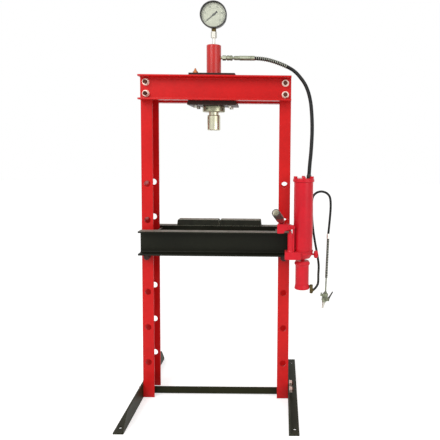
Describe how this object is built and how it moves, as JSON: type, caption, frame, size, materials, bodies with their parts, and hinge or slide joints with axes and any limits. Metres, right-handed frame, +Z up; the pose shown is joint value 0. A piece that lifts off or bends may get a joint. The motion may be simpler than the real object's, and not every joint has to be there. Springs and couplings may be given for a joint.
{
  "type": "hydraulic shop press",
  "caption": "H-frame hydraulic shop press with a gauge over its ram, a pinned height-adjustable bed, and an air and hand pump with hoses on its right column",
  "frame": {"origin": "on the floor, midway between the outer faces of the two columns and midway between their front and rear flanges", "axes": "+X across the frame towards the pump, +Y from the front to the rear, +Z up"},
  "size_m": [0.8454, 0.682, 1.681],
  "materials": {
    "frame_red": "semi-gloss red enamel",
    "pump_red": "gloss crimson enamel",
    "foot_olive": "satin olive-black paint",
    "bed_black": "satin black paint",
    "cast_black": "rough black paint on cast iron",
    "zinc": "bright zinc plate",
    "dark_steel": "blackened steel",
    "bright_steel": "ground steel",
    "spring_steel": "oiled spring steel",
    "brass": "dull brass",
    "gauge_black": "black enamel",
    "gauge_glass": "clear window",
    "dial_face": "printed white dial",
    "pointer_black": "matt black",
    "hose_rubber": "black rubber",
    "seal_rubber": "black rubber",
    "valve_metal": "dull cast metal"
  },
  "bodies": {
    "frame": {"left_column": "frame_red", "right_column": "frame_red", "head_front_beam": "frame_red", "head_rear_beam": "frame_red", "frame_bolts": "dark_steel", "frame_nuts": "zinc", "left_foot": "foot_olive", "right_foot": "foot_olive", "base_brace": "foot_olive", "upper_clamp_plate": "cast_black", "lower_clamp_plate": "cast_black", "clamp_bolts": "dark_steel", "clamp_cap_nut": "brass", "ram_cylinder": "frame_red", "cylinder_cap": "frame_red", "lock_ring": "bright_steel", "rod_wiper": "seal_rubber", "return_spring": "spring_steel", "gauge_adaptor": "zinc", "gauge_stem": "brass", "gauge_case": "gauge_black", "gauge_bezel": "gauge_black", "gauge_glass": "gauge_glass", "gauge_dial": "dial_face", "hose_coupler": "bright_steel", "hose_ferrule": "zinc", "hose_guard": "hose_rubber", "hydraulic_hose": "hose_rubber", "pump_fitting": "dark_steel", "pump_bracket": "frame_red", "pump_screws": "dark_steel", "pump_base": "pump_red", "pump_tank": "pump_red", "tank_cap": "pump_red", "plunger_gland": "zinc", "air_motor_cylinder": "pump_red", "air_motor_cap": "pump_red", "air_elbow": "brass", "air_hose": "hose_rubber", "air_hose_collar": "zinc", "air_hose_guard": "hose_rubber", "air_valve_body": "valve_metal", "air_nipple": "zinc"},
    "bed": {"bed_front_beam": "bed_black", "bed_rear_beam": "bed_black", "bed_tie_plates": "bed_black", "arbor_plate_left": "cast_black", "arbor_plate_right": "cast_black"},
    "left_pin": {"bed_pin_left": "dark_steel"},
    "right_pin": {"bed_pin_right": "dark_steel"},
    "ram": {"ram_rod": "bright_steel", "ram_nose": "bright_steel", "piston_seal": "seal_rubber"},
    "pointer": {"gauge_pointer": "pointer_black"},
    "lever": {"pump_lever": "pump_red", "handle_socket": "dark_steel", "lever_pins": "bright_steel"},
    "plunger": {"pump_plunger": "bright_steel"},
    "release_knob": {"release_valve": "pump_red"},
    "thumb_lever": {"air_valve_lever": "valve_metal"}
  },
  "joints": [
    {"name": "bed_slide", "type": "slide", "parent": "frame", "child": "bed", "axis": [0, 0, 1], "range_m": [0, 0.306]},
    {"name": "left_pin_slide", "type": "slide", "parent": "frame", "child": "left_pin", "axis": [0, -1, 0], "range_m": [0, 0.165]},
    {"name": "right_pin_slide", "type": "slide", "parent": "frame", "child": "right_pin", "axis": [0, -1, 0], "range_m": [0, 0.165]},
    {"name": "ram_slide", "type": "slide", "parent": "frame", "child": "ram", "axis": [0, 0, 1], "range_m": [-0.15, 0], "stiffness_N_per_m": 1000, "springref_m": 0.12, "deforming": ["return_spring"]},
    {"name": "pointer_spin", "type": "hinge", "parent": "frame", "child": "pointer", "pos_m": [-0.016, -0.018, 1.625], "axis": [0, 1, 0], "range_deg": [0, 260], "stiffness_Nm_per_rad": 0.02, "springref_deg": -11.46},
    {"name": "lever_swing", "type": "hinge", "parent": "frame", "child": "lever", "pos_m": [0.323, -0.164, 0.761], "axis": [0, 1, 0], "range_deg": [-25, 25]},
    {"name": "plunger_slide", "type": "slide", "parent": "frame", "child": "plunger", "axis": [0, 0, 1], "range_m": [-0.0053, 0.0053]},
    {"name": "release_turn", "type": "hinge", "parent": "frame", "child": "release_knob", "pos_m": [0.41, -0.13, 0.645], "axis": [1, 0, 0], "range_deg": [0, 180]},
    {"name": "thumb_lever_swing", "type": "hinge", "parent": "frame", "child": "thumb_lever", "pos_m": [0.47575, -0.06, 0.4377], "axis": [0, 1, 0], "range_deg": [-16, 0], "stiffness_Nm_per_rad": 0.3, "springref_deg": 8.59}
  ],
  "couplings": [
    {"joint": "plunger_slide", "follows": "lever_swing", "m_per_rad": 0.012}
  ]
}
